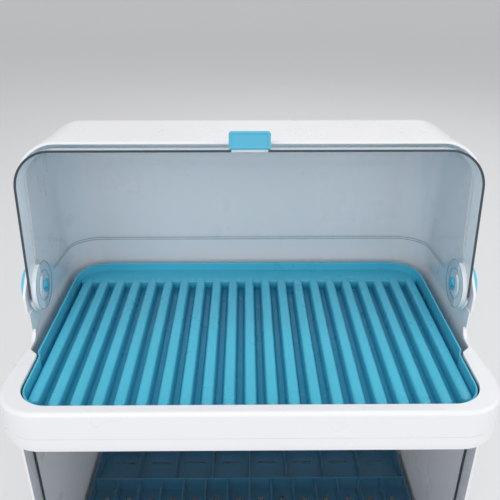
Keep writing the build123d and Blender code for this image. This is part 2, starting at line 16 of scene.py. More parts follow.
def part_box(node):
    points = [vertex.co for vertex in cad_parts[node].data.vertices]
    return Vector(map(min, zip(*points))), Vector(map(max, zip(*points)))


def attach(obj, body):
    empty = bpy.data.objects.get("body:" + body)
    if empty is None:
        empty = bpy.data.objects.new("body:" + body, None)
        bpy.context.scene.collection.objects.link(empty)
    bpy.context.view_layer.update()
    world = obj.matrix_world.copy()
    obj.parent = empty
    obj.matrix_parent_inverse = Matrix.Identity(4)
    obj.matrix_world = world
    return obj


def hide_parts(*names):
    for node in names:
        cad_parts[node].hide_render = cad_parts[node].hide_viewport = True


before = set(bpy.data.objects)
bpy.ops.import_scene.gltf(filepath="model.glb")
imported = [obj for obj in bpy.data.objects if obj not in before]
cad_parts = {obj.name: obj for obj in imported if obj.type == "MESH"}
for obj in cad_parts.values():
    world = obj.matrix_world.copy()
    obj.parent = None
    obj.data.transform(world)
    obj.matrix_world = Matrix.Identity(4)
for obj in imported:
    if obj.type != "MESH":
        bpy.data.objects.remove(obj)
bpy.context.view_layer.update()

LOG = logging.getLogger("dish_drainer")
MM = 0.001

Colour = tuple[float, float, float]
Point = tuple[float, float]
Place = tuple[float, float, float]
Loop = list[Place]
Socket = bpy.types.NodeSocket
Feed = float | Place | Socket

# Degrees of a quarter of a turn
QUARTER = 90.0

# Sockets of the Mix node when it mixes colours
MIX_SHARE, MIX_FIRST, MIX_SECOND, MIX_RESULT = 0, 6, 7, 2


class Body(Enum):
    """The moving groups that a piece can ride on."""

    CABINET = "cabinet"
    TRAY = "tray"
    RACK = "rack"
    LID = "lid"
    DOOR = "door"


class Slot(Enum):
    """The record's material slots."""

    WHITE = "white"
    BLUE = "blue"
    LIGHT_BLUE = "light_blue"
    CLEAR = "clear"
    RUBBER = "rubber"


class Side(Enum):
    """Left or right of the drainer, with the sign of its X."""

    LEFT = -1
    RIGHT = 1

    @property
    def word(self) -> str:
        """The side's name, as the nodes' names end in it."""
        return self.name.lower()


def srgb(red: int, green: int, blue: int) -> Colour:
    """Linear colour of a screen colour, by the sRGB curve, which is straight near black.

    Args:
        red: Red from 0 to 255.
        green: Green from 0 to 255.
        blue: Blue from 0 to 255.

    Returns:
        The colour as three linear parts.
    """
    straight_end, slope, lift, power = 0.04045, 12.92, 0.055, 2.4

    def linear(part: int) -> float:
        """Linear value of one part."""
        share = part / 255
        return share / slope if share <= straight_end else ((share + lift) / (1 + lift)) ** power

    return linear(red), linear(green), linear(blue)


class NodeSheet:
    """A new material's node tree with short calls to fill it."""

    def __init__(self, name: str) -> None:
        """Makes an empty material.

        Args:
            name: The material's name.
        """
        self.material = bpy.data.materials.new(name)
        self.material.use_nodes = True
        self.tree = self.material.node_tree
        self.tree.nodes.clear()

    def feed(self, target: Socket, value: Feed) -> None:
        """Fills an input.

        Args:
            target: The input socket.
            value: Its number, colour or place, or the output socket that gives it.
        """
        if isinstance(value, Socket):
            self.tree.links.new(value, target)
        elif target.type == "RGBA":
            target.default_value = (*value, 1)
        else:
            target.default_value = value

    def add(self, kind: str, feeds: dict[str | int, Feed] | None = None, **settings: str) -> bpy.types.Node:
        """Adds a node.

        Args:
            kind: The node's type without its ShaderNode prefix.
            feeds: What fills its inputs, by their names or numbers.
            **settings: Values for the node's own settings.

        Returns:
            The new node.
        """
        node = self.tree.nodes.new("ShaderNode" + kind)
        for key, value in settings.items():
            setattr(node, key, value)
        for key, value in (feeds or {}).items():
            self.feed(node.inputs[key], value)
        return node

    def finished(self, surface: Socket) -> bpy.types.Material:
        """Ends the sheet.

        Args:
            surface: The shader that the material shows.

        Returns:
            The finished material.
        """
        self.add("OutputMaterial", {"Surface": surface})
        return self.material

    def object_place(self) -> Socket:
        """The socket of the piece's own coordinates, in metres."""
        return self.add("TexCoord").outputs["Object"]

    def axes(self) -> bpy.types.NodeOutputs:
        """The sockets X, Y and Z of the piece's own coordinates."""
        return self.add("SeparateXYZ", {0: self.object_place()}).outputs

    def noise(self, scale: float, detail: float = 2.0) -> Socket:
        """Soft noise over the piece.

        Args:
            scale: Spots per metre.
            detail: How many finer layers the noise has.

        Returns:
            The socket with the noise's value.
        """
        node = self.add("TexNoise", {"Vector": self.object_place(), "Scale": scale, "Detail": detail})
        return node.outputs["Fac"]

    def ranged(self, value: Socket, low: float, high: float,
               start: float = 0.3, end: float = 0.7) -> Socket:
        """Maps a value from start..end to low..high.

        Args:
            value: The socket to map.
            low: What start becomes.
            high: What end becomes.
            start: Where the range begins.
            end: Where the range ends.

        Returns:
            The socket with the mapped value.
        """
        feeds = {"Value": value, "From Min": start, "From Max": end, "To Min": low, "To Max": high}
        return self.add("MapRange", feeds).outputs["Result"]

    def mixed(self, share: Socket, first: Colour | Socket, second: Colour) -> Socket:
        """Mixes two colours by a share.

        Args:
            share: The socket with the share of the second colour.
            first: The colour at share 0, or the socket that gives it.
            second: The colour at share 1.

        Returns:
            The socket with the mixed colour.
        """
        feeds = {MIX_SHARE: share, MIX_FIRST: first, MIX_SECOND: second}
        return self.add("Mix", feeds, data_type="RGBA").outputs[MIX_RESULT]

    def maths(self, operation: str, first: Socket, second: float | Socket = 0.0) -> Socket:
        """Joins two values by a sum.

        Args:
            operation: Name of the sum, as the Math node has it.
            first: The socket with the first value.
            second: The second value, or the socket that gives it.

        Returns:
            The socket with the result.
        """
        return self.add("Math", {0: first, 1: second}, operation=operation).outputs[0]

    def past_plane(self, point: Place, normal: Place) -> Socket:
        """How far a place lies past a plane.

        Args:
            point: A point of the plane.
            normal: The way that counts as past.

        Returns:
            The socket with the distance, in metres.
        """
        away = self.add("VectorMath", {0: self.object_place(), 1: point}, operation="SUBTRACT")
        reach = self.add("VectorMath", {0: away.outputs["Vector"], 1: normal}, operation="DOT_PRODUCT")
        return reach.outputs["Value"]

    def plain(self, colour: Colour, roughness: float) -> Socket:
        """A plain surface of one colour and roughness."""
        return self.add("BsdfPrincipled", {"Base Color": colour, "Roughness": roughness}).outputs["BSDF"]

    def covered(self, under: Socket, over: Socket, share: float | Socket) -> Socket:
        """Covers one surface with a share of another.

        Args:
            under: The shader below.
            over: The shader above.
            share: How much of the one above shows, or the socket that gives it.

        Returns:
            The socket with the covered surface.
        """
        return self.add("MixShader", {0: share, 1: under, 2: over}).outputs["Shader"]


@dataclass(frozen=True)
class Seams:
    """Fine dark lines on the outside of the white cabinet.

    Those at the given heights are joints between two mouldings, at the sides and the back. The fainter lip
    line runs along the front, above the upper base's lower edge. A share is how much of the dark shows.
    """

    heights: tuple[float, ...] = (77 * MM, 306 * MM, 377 * MM)
    half_line: float = 0.35 * MM
    core_share: float = 0.4
    outside_x: float = 223.4 * MM
    outside_y: float = 151.4 * MM
    depth_share: float = 0.55
    lip_height: float = 321.5 * MM
    lip_half_line: float = 0.7 * MM
    lip_front: float = -138 * MM
    lip_share: float = 0.14
    dark_share: float = 0.25

    def line(self, sheet: NodeSheet, height: float, share: float, core: float, half: float) -> Socket:
        """Draws one level line.

        Args:
            sheet: The sheet that takes the nodes.
            height: Height of the line's middle.
            share: Share at its middle.
            core: How far from the middle that share holds.
            half: How far from the middle it fades out.

        Returns:
            The socket with the line's share.
        """
        away = sheet.maths("ABSOLUTE", sheet.maths("SUBTRACT", sheet.axes()["Z"], height))
        return sheet.ranged(away, share, 0.0, core, half)

    def share(self, sheet: NodeSheet) -> Socket:
        """Share of the lines at each place of the surface.

        Args:
            sheet: The sheet that takes the nodes.

        Returns:
            The socket with the share.
        """
        axes = sheet.axes()
        wide = sheet.maths("GREATER_THAN", sheet.maths("ABSOLUTE", axes["X"]), self.outside_x)
        back = sheet.maths("GREATER_THAN", axes["Y"], self.outside_y)
        front = sheet.maths("LESS_THAN", axes["Y"], self.lip_front)
        core = self.half_line * self.core_share
        joints, *others = [self.line(sheet, height, self.depth_share, core, self.half_line)
                           for height in self.heights]
        for other in others:
            joints = sheet.maths("MAXIMUM", joints, other)
        lip = self.line(sheet, self.lip_height, self.lip_share, self.half_line, self.lip_half_line)
        return sheet.maths("MAXIMUM", sheet.maths("MULTIPLY", joints, sheet.maths("MAXIMUM", wide, back)),
                           sheet.maths("MULTIPLY", lip, front))


@dataclass(frozen=True)
class PaintedValleyShade:
    """Painted shade between the ribs: a darker blue towards the tray floor, standing in for the shade and
    the coloured light that the ribs throw on each other.

    Its share is the most up to the low height and fades out at the high one.
    """

    low: float
    high: float
    colour: Colour
    most: float = 0.7

    def share(self, sheet: NodeSheet) -> Socket:
        """Share of the painted shade at each place of the surface."""
        return sheet.ranged(sheet.axes()["Z"], self.most, 0.0, self.low, self.high)


@dataclass(frozen=True)
class MouldedPlastic:
    """Coloured moulded plastic with a slightly uneven shade and gloss.

    Spots are counted per metre, the drift is a share of the colour, and the gloss shares are the least and
    the most of the roughness.
    """

    name: str
    slot: Slot
    colour: Colour
    roughness: float
    shade_drift: float = 0.05
    shade_spots: float = 7.0
    shade_detail: float = 3.0
    gloss_spots: float = 24.0
    gloss_shares: Point = (0.96, 1.05)
    grain_depth: float = 0.0
    grain_strength: float = 0.3
    grain_spots: float = 420.0
    refraction: float = 1.5
    shine: float = 0.5
    coat: float = 0.0
    coat_roughness: float = 0.08
    seams: Seams | None = None
    # Painted shade between the ribs, darker towards the tray floor
    deep: PaintedValleyShade | None = None

    def shade(self, sheet: NodeSheet) -> Socket:
        """The colour at each place of the surface.

        Args:
            sheet: The sheet that takes the nodes.

        Returns:
            The socket with the colour.
        """
        darker = tuple(part * (1 - self.shade_drift) for part in self.colour)
        lighter = tuple(min(part * (1 + self.shade_drift), 1.0) for part in self.colour)
        drift = sheet.ranged(sheet.noise(self.shade_spots, self.shade_detail), 0.0, 1.0)
        shade = sheet.mixed(drift, darker, lighter)
        # Painted shade: darker towards the floor between the ribs
        if self.deep:
            shade = sheet.mixed(self.deep.share(sheet), shade, self.deep.colour)
        if self.seams:
            dark = tuple(part * self.seams.dark_share for part in self.colour)
            shade = sheet.mixed(self.seams.share(sheet), shade, dark)
        return shade

    def material(self) -> bpy.types.Material:
        """Makes the finish's material, once.

        Returns:
            The material.
        """
        if self.name in bpy.data.materials:
            return bpy.data.materials[self.name]
        sheet = NodeSheet(self.name)
        low, high = [self.roughness * share for share in self.gloss_shares]
        feeds = {
            "Base Color": self.shade(sheet),
            "Roughness": sheet.ranged(sheet.noise(self.gloss_spots), low, high),
            "IOR": self.refraction,
            "Specular IOR Level": self.shine,
            "Coat Weight": self.coat,
            "Coat Roughness": self.coat_roughness,
        }
        if self.grain_depth:
            grain = {"Strength": self.grain_strength, "Distance": self.grain_depth,
                     "Height": sheet.noise(self.grain_spots)}
            feeds["Normal"] = sheet.add("Bump", grain).outputs["Normal"]
        return sheet.finished(sheet.add("BsdfPrincipled", feeds).outputs["BSDF"])


@dataclass(frozen=True)
class PaintedCutEdge:
    """The square-cut edge of a clear sheet, at a plane that faces out of it, painted with light and shade.

    The edge is painted dark down to its depth, as painted refraction darkness, and where there is a
    reflection strip depth, a pale strip of painted reflection lies below it.
    Each fades in over a share of its depth.
    """

    point: Place
    normal: Place
    # Painted refraction darkness: the colour of the dark cut edge
    colour: Colour
    roughness: float = 0.15
    depth: float = 1.6 * MM
    fade_share: float = 0.9
    # Painted reflection: the pale strip where the sheet mirrors the pale sky at a grazing angle
    reflection_strip_depth: float = 0.0
    reflection_strip_colour: Colour = (0.9, 0.93, 0.95)
    strip_roughness: float = 0.2
    reflection_strip_most: float = 0.82
    strip_fade_share: float = 0.1

    def cover(self, sheet: NodeSheet, clear: Socket) -> Socket:
        """Covers a clear surface with the strip of painted reflection and the edge of painted refraction
        darkness.

        Args:
            sheet: The sheet that takes the nodes.
            clear: The clear surface.

        Returns:
            The socket with the covered surface.
        """
        past = sheet.past_plane(self.point, self.normal)
        # Painted reflection: a pale strip below the cut edge
        if self.reflection_strip_depth:
            fade_end = self.reflection_strip_depth * (self.strip_fade_share - 1)
            share = sheet.ranged(past, 0.0, self.reflection_strip_most, -self.reflection_strip_depth, fade_end)
            clear = sheet.covered(clear, sheet.plain(self.reflection_strip_colour, self.strip_roughness), share)
        # Painted refraction darkness over the cut edge
        share = sheet.ranged(past, 0.0, 1.0, -self.depth, self.depth * (self.fade_share - 1))
        return sheet.covered(clear, sheet.plain(self.colour, self.roughness), share)


@dataclass(frozen=True)
class ClearPlastic:
    """Clear moulded sheet: see-through with a faint tint and haze, and glossier where it is seen aslant.

    Mirror and glare are the shares of gloss face on and at a grazing angle, and the gloss shares are the
    least and the most of the roughness.
    """

    name: str
    slot: Slot
    tint: Colour
    haze: float
    haze_colour: Colour = (0.8, 0.86, 0.9)
    haze_roughness: float = 0.3
    roughness: float = 0.05
    gloss_spots: float = 30.0
    gloss_detail: float = 3.0
    gloss_shares: Point = (0.6, 1.5)
    mirror: float = 0.015
    glare: float = 0.7
    glare_blend: float = 0.5
    glare_power: float = 5.0
    edge: PaintedCutEdge | None = None

    def material(self) -> bpy.types.Material:
        """Makes the finish's material, once.

        Returns:
            The material.
        """
        if self.name in bpy.data.materials:
            return bpy.data.materials[self.name]
        sheet = NodeSheet(self.name)
        through = sheet.add("BsdfTransparent", {"Color": self.tint}).outputs["BSDF"]
        low, high = [self.roughness * share for share in self.gloss_shares]
        uneven = sheet.ranged(sheet.noise(self.gloss_spots, self.gloss_detail), low, high)
        gloss = sheet.add("BsdfAnisotropic", {"Roughness": uneven}).outputs["BSDF"]
        aslant = sheet.add("LayerWeight", {"Blend": self.glare_blend}).outputs["Facing"]
        steep = sheet.maths("POWER", aslant, self.glare_power)
        surface = sheet.covered(through, gloss, sheet.ranged(steep, self.mirror, self.glare, 0.0, 1.0))
        surface = sheet.covered(surface, sheet.plain(self.haze_colour, self.haze_roughness), self.haze)
        # The edge adds painted refraction darkness and, on the lid, a strip of painted reflection
        if self.edge:
            surface = self.edge.cover(sheet, surface)
        return sheet.finished(surface)


WHITE = MouldedPlastic("white_moulding", Slot.WHITE, srgb(235, 235, 238), roughness=0.28,
                       shade_drift=0.008, seams=Seams())
PIN_WHITE = MouldedPlastic("white_pin", Slot.WHITE, srgb(232, 232, 235), roughness=0.28, shade_drift=0.008)
# The tray's blue carries painted shade, darker towards its floor between the ribs
BLUE = MouldedPlastic("blue_moulding", Slot.BLUE, srgb(82, 192, 219), roughness=0.28,
                      deep=PaintedValleyShade(325.7 * MM, 336 * MM, srgb(24, 114, 152)))
# Painted shade: the rack is the tray's blue plastic, darkened to stand in for the shade inside the covered
# lower tier
SHADED_RACK_BLUE = MouldedPlastic("rack_blue_painted_shade", Slot.BLUE, srgb(8, 97, 130), roughness=0.34, shine=0.35)
LIGHT_BLUE = MouldedPlastic("light_blue_moulding", Slot.LIGHT_BLUE, srgb(76, 176, 207), roughness=0.24,
                            shade_drift=0.03, coat=0.3)
CAP_BLUE = MouldedPlastic("cap_moulding", Slot.LIGHT_BLUE, srgb(104, 200, 228), roughness=0.45, shine=0.12)
RUBBER = MouldedPlastic("foot_rubber", Slot.RUBBER, srgb(58, 58, 62), roughness=0.75,
                        shade_drift=0.12, grain_depth=0.1 * MM)
# Painted shade: a darker tint and a grey haze stand in for the refraction shade that shows fine clear beads
# and rings as grey lines
SHADED_CLEAR_LINE = ClearPlastic("clear_line_painted_shade", Slot.CLEAR, (0.72, 0.77, 0.79), haze=0.12,
                          haze_colour=(0.45, 0.5, 0.53))

Finish = MouldedPlastic | ClearPlastic


def dress(nodes: tuple[str, ...], finish: Finish) -> None:
    """Gives CAD nodes their finish.

    Args:
        nodes: Names of the nodes.
        finish: The finish that they take.
    """
    for name in nodes:
        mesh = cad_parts[name].data
        mesh.materials.clear()
        mesh.materials.append(finish.material())
        LOG.info("dressed %s in %s", name, finish.name)


def rounded(corners: list[Point], radii: list[float], closed: bool = True, steps: int = 8) -> list[Point]:
    """Outline or path with its corners rounded.

    Args:
        corners: The sharp corners in order.
        radii: The radius at each corner, where an open path's first and last count for nothing.
        closed: Whether the last corner joins the first.
        steps: Runs of each rounded corner.

    Returns:
        The points, with steps + 1 for each rounded corner.
    """
    points = []
    for index, (corner, radius) in enumerate(zip(corners, radii)):
        if not closed and index in (0, len(corners) - 1):
            points.append(corner)
            continue
        middle = Vector(corner)
        before = (Vector(corners[index - 1]) - middle).normalized()
        after = (Vector(corners[(index + 1) % len(corners)]) - middle).normalized()
        half = before.angle(after) / 2
        centre = middle + (before + after).normalized() * radius / math.sin(half)
        first = middle + before * radius / math.tan(half) - centre
        last = middle + after * radius / math.tan(half) - centre
        turn = math.atan2(first.x * last.y - first.y * last.x, first.dot(last))
        for step in range(steps + 1):
            spoke = Matrix.Rotation(turn * step / steps, 2) @ first
            points.append(tuple(centre + spoke))
    return points


def arc(centre: Point, radius: float, start: float, end: float, steps: int) -> list[Point]:
    """Points along an arc.

    Args:
        centre: The arc's centre.
        radius: Its radius.
        start: Angle of the first point, in degrees.
        end: Angle of the last point, in degrees.
        steps: Number of runs between the points.

    Returns:
        The points, ends included.
    """
    points = []
    for step in range(steps + 1):
        angle = math.radians(start + (end - start) * step / steps)
        points.append((centre[0] + radius * math.cos(angle), centre[1] + radius * math.sin(angle)))
    return points


def circle(centre: Point, radius: float, sides: int) -> list[Point]:
    """The corners of a circle of that many sides, each once."""
    return arc(centre, radius, 0, QUARTER * 4, sides)[:-1]


class Form:
    """A mesh under construction, in the object's frame.

    The steps are the runs of a block's softened edges and rounded corners, and a corner stays at least a
    share of the edge. A face looks one way when its normal's cosine to that way is over the level one.
    """

    edge_steps: int = 4
    corner_steps: int = 5
    least_corner_share: float = 0.2
    level_cosine: float = 0.99

    def __init__(self) -> None:
        """Starts with nothing."""
        self.mesh = bmesh.new()

    def loft(self, loops: list[Loop], closed: bool = False) -> None:
        """Skins a row of loops that have as many points each.

        Args:
            loops: The loops in order.
            closed: Whether the last loop joins the first, instead of a lid at each end.
        """
        rows = [[self.mesh.verts.new(place) for place in loop] for loop in loops]
        pairs = list(zip(rows, rows[1:])) + ([(rows[-1], rows[0])] if closed else [])
        for low, high in pairs:
            for index in range(len(low)):
                after = (index + 1) % len(low)
                self.mesh.faces.new((low[index], low[after], high[after], high[index]))
        if not closed:
            self.mesh.faces.new(rows[0])
            self.mesh.faces.new(rows[-1])

    def tube(self, path: Loop, radius: float, closed: bool = False, sides: int = 10) -> None:
        """Sweeps a circle along a path.

        Args:
            path: The points that it follows.
            radius: The circle's radius.
            closed: Whether the path closes on itself.
            sides: Sides of the circle.
        """
        places = [Vector(place) for place in path]
        ring = circle((0, 0), radius, sides)
        loops = []
        across = None
        for index, place in enumerate(places):
            before = places[index - 1] if closed or index else place
            after = places[(index + 1) % len(places)] if closed or index + 1 < len(places) else place
            along = (after - before).normalized()
            if across is None:
                across = along.orthogonal()
            across = (across - along * across.dot(along)).normalized()
            third = along.cross(across)
            loops.append([tuple(place + across * x + third * y) for x, y in ring])
        self.loft(loops, closed)

    def spin(self, profile: list[Point], centre: Place, axis: Vector, sides: int = 48) -> None:
        """Turns a profile about an axis.

        Args:
            profile: Pairs of radius and height along the axis, with no radius of zero.
            centre: A point of the axis, at height zero.
            axis: The axis, of length one.
            sides: Number of sides.
        """
        across = axis.orthogonal().normalized()
        third = axis.cross(across)
        loops = []
        for radius, height in profile:
            middle = Vector(centre) + axis * height
            ring = circle((0, 0), radius, sides)
            loops.append([tuple(middle + across * x + third * y) for x, y in ring])
        self.loft(loops)

    def block(self, low: Place, high: Place, corner: float, edge: float) -> None:
        """Makes a block with rounded upright corners and softened edges.

        Args:
            low: Its lowest corner.
            high: Its highest corner.
            corner: Radius of the upright corners.
            edge: Radius of all its edges.
        """
        levels = []
        for step in range(self.edge_steps + 1):
            bend = math.radians(QUARTER * step / self.edge_steps)
            levels.append((edge * (1 - math.sin(bend)), edge * (1 - math.cos(bend))))
        heights = [(inset, low[2] + rise) for inset, rise in levels]
        heights += [(inset, high[2] - rise) for inset, rise in reversed(levels)]
        loops = []
        for inset, height in heights:
            corners = [(low[0] + inset, low[1] + inset), (high[0] - inset, low[1] + inset),
                       (high[0] - inset, high[1] - inset), (low[0] + inset, high[1] - inset)]
            radius = max(corner - inset, edge * self.least_corner_share)
            outline = rounded(corners, [radius] * len(corners), steps=self.corner_steps)
            loops.append([(x, y, height) for x, y in outline])
        self.loft(loops)

    def recess(self, facing: Vector, border: float, depth: float) -> None:
        """Sinks the largest face that looks one way, inside a border.

        Args:
            facing: The way that it looks.
            border: Width of the border that stays.
            depth: How deep the face is sunk.
        """
        bmesh.ops.recalc_face_normals(self.mesh, faces=self.mesh.faces)
        flat = [face for face in self.mesh.faces if face.normal.dot(facing) > self.level_cosine]
        largest = max(flat, key=lambda face: face.calc_area())
        bmesh.ops.inset_region(self.mesh, faces=[largest], thickness=border)
        bmesh.ops.inset_region(self.mesh, faces=[largest], thickness=depth, depth=-depth)

    def piece(self, name: str, finish: Finish, body: Body, stands_for: tuple[str, ...] = (),
              crease: float = 40.0) -> bpy.types.Object:
        """Turns the mesh into a finished piece of the model.

        Args:
            name: The piece's name.
            finish: Its finish.
            body: The body that it moves with.
            stands_for: CAD nodes that it takes the place of.
            crease: Angle from which an edge stays sharp, in degrees.

        Returns:
            The piece.
        """
        bmesh.ops.recalc_face_normals(self.mesh, faces=self.mesh.faces)
        mesh = bpy.data.meshes.new(name)
        self.mesh.to_mesh(mesh)
        self.mesh.free()
        mesh.shade_smooth()
        mesh.set_sharp_from_angle(angle=math.radians(crease))
        mesh.materials.append(finish.material())
        piece = bpy.data.objects.new(name, mesh)
        bpy.context.scene.collection.objects.link(piece)
        even = piece.modifiers.new("even_shading", "WEIGHTED_NORMAL")
        even.keep_sharp = True
        if stands_for:
            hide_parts(*stands_for)
        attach(piece, body.value)
        LOG.info("built %s in %s on %s", name, finish.name, body.value)
        return piece


@dataclass(frozen=True)
class DishOutline:
    """Outline of a dish in a base's opening, seen from above: a small step makes it wider at the back."""

    rear_half: float
    front_half: float = 210 * MM
    front_y: float = -131 * MM
    rear_y: float = 139.7 * MM
    step_y: float = -56.5 * MM
    step_length: float = 8 * MM
    front_radius: float = 30 * MM
    step_radius: float = 6 * MM
    rear_radius: float = 38 * MM

    def loop(self, inset: float) -> list[Point]:
        """The outline, drawn in by inset.

        Args:
            inset: How far it is drawn in.

        Returns:
            Its points, as many for each inset.
        """
        front, rear = self.front_half - inset, self.rear_half - inset
        right = [(front, self.front_y + inset), (front, self.step_y),
                 (rear, self.step_y + self.step_length), (rear, self.rear_y - inset)]
        radii = [self.front_radius - inset, self.step_radius, self.step_radius, self.rear_radius - inset]
        left = [(-x, y) for x, y in reversed(right)]
        return rounded(right + left, radii + radii[::-1])


@dataclass(frozen=True)
class HingeSeat:
    """Where a round hinge piece lies: its radius, how far its ends are from the middle, and its axis."""

    radius: float
    inner: float
    outer: float
    axis_y: float
    axis_z: float

    @classmethod
    def of(cls, node: str) -> "HingeSeat":
        """Reads a seat from the frame.

        Args:
            node: The CAD node that lies there.

        Returns:
            Its seat.
        """
        low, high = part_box(node)
        inner, outer = sorted((abs(low[0]), abs(high[0])))
        return cls((high[2] - low[2]) / 2, inner, outer, (low[1] + high[1]) / 2, (low[2] + high[2]) / 2)


@dataclass
class Cabinet:
    """The white mouldings, the hinge caps and buttons, the flap's pins and the rubber feet.

    The claw levels are pairs of shares, of the button's radius and of its depth. The tread is a row of
    points of radius and height, from the middle of a foot's underside out to its side.
    """

    body: Body = Body.CABINET
    cap_edge: float = 2.4 * MM
    cap_height: float = 7 * MM
    cap_roundness: float = 4.0
    cap_steps: int = 15
    cap_tip_share: float = 0.02
    cap_bevel_in: float = 0.6 * MM
    cap_bevel_out: float = 0.4 * MM
    shaft_radius: float = 5 * MM
    claw_gap: float = 1.0 * MM
    claw_count: int = 4
    claw_steps: int = 8
    claw_levels: tuple[Point, ...] = ((0.80, 0.0), (0.98, 0.12), (1.0, 0.30), (0.93, 0.55), (0.74, 0.80),
                                      (0.50, 0.95), (0.34, 1.0))
    core_radius: float = 2.2 * MM
    core_tip_radius: float = 1.6 * MM
    core_depth_shares: Point = (0.75, 0.9)
    core_sides: int = 24
    foot_radius: float = 12 * MM
    foot_height: float = 6 * MM
    foot_bevel: float = 0.8 * MM
    foot_sides: int = 40
    peg_radius: float = 3 * MM
    tread: tuple[Point, ...] = ((0.4 * MM, 0.7 * MM), (3 * MM, 0.7 * MM), (3.4 * MM, 0.0), (6.2 * MM, 0.0),
                                (6.5 * MM, 0.7 * MM), (7.5 * MM, 0.7 * MM), (7.8 * MM, 0.0), (11 * MM, 0.0),
                                (11.8 * MM, 0.4 * MM), (12 * MM, 1.2 * MM))

    def dress(self) -> None:
        """Gives the carried-over nodes their finishes."""
        dress(("lower_base", "upper_base", "lower_housing", "upper_hood"), WHITE)
        dress(("door_pins",), PIN_WHITE)

    def hinge_cap(self, side: Side) -> None:
        """Builds a domed cap with its shaft, in place of the plain one.

        Args:
            side: The side of the drainer.
        """
        node = f"hinge_cap_{side.word}"
        place = HingeSeat.of(node)
        seat = place.outer - self.cap_height
        shoulder = seat + self.cap_edge
        rise, power = self.cap_height - self.cap_edge, 2 / self.cap_roundness
        dome = []
        for step in range(1, self.cap_steps):
            angle = math.radians(QUARTER * step / self.cap_steps)
            height = shoulder + rise * math.sin(angle) ** power
            dome.append((place.radius * math.cos(angle) ** power, height))
        profile = [(self.shaft_radius, place.inner), (self.shaft_radius, seat),
                   (place.radius - self.cap_bevel_in, seat), (place.radius, seat + self.cap_bevel_out),
                   (place.radius, shoulder), *dome, (place.radius * self.cap_tip_share, place.outer)]
        form = Form()
        form.spin(profile, (0.0, place.axis_y, place.axis_z), Vector((side.value, 0, 0)))
        form.piece(f"domed_hinge_cap_{side.word}", CAP_BLUE, self.body, (node,))

    def hinge_button(self, side: Side) -> None:
        """Builds the snap head on the inner end of a hinge shaft, split into a claw for each quarter.

        Args:
            side: The side of the drainer.
        """
        node = f"hinge_hub_{side.word}"
        place = HingeSeat.of(node)
        deep = place.outer - place.inner
        form = Form()
        for claw in range(self.claw_count):
            turn = Matrix.Rotation(math.pi * 2 * claw / self.claw_count, 2)
            loops = []
            for share, depth_share in self.claw_levels:
                reach = place.radius * share
                start = math.degrees(math.asin(self.claw_gap / reach))
                rim = arc((0.0, 0.0), reach, start, QUARTER - start, self.claw_steps)
                outline = [turn @ Vector(point) for point in [(self.claw_gap, self.claw_gap), *rim]]
                x = side.value * (place.outer - deep * depth_share)
                loops.append([(x, place.axis_y + point.x, place.axis_z + point.y) for point in outline])
            form.loft(loops)
        straight, tip = [deep * share for share in self.core_depth_shares]
        core = [(self.core_radius, 0.0), (self.core_radius, straight), (self.core_tip_radius, tip)]
        form.spin(core, (side.value * place.outer, place.axis_y, place.axis_z), Vector((-side.value, 0, 0)),
                  self.core_sides)
        form.piece(f"hinge_snap_head_{side.word}", LIGHT_BLUE, self.body, (node,))

    def feet(self) -> None:
        """Builds the four rubber feet with a grooved tread, in place of the plain ones."""
        low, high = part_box("foot_pads")
        radius, height = self.foot_radius, self.foot_height
        profile = [*self.tread, (radius, height - self.foot_bevel), (radius - self.foot_bevel, height),
                   (self.peg_radius, height), (self.peg_radius, high[2])]
        form = Form()
        for x in (low[0] + radius, high[0] - radius):
            for y in (low[1] + radius, high[1] - radius):
                form.spin(profile, (x, y, 0.0), Vector((0, 0, 1)), self.foot_sides)
        form.piece("treaded_feet", RUBBER, self.body, ("foot_pads",))

    def build(self) -> None:
        """Builds and dresses the cabinet."""
        self.dress()
        for side in Side:
            self.hinge_cap(side)
            self.hinge_button(side)
        self.feet()


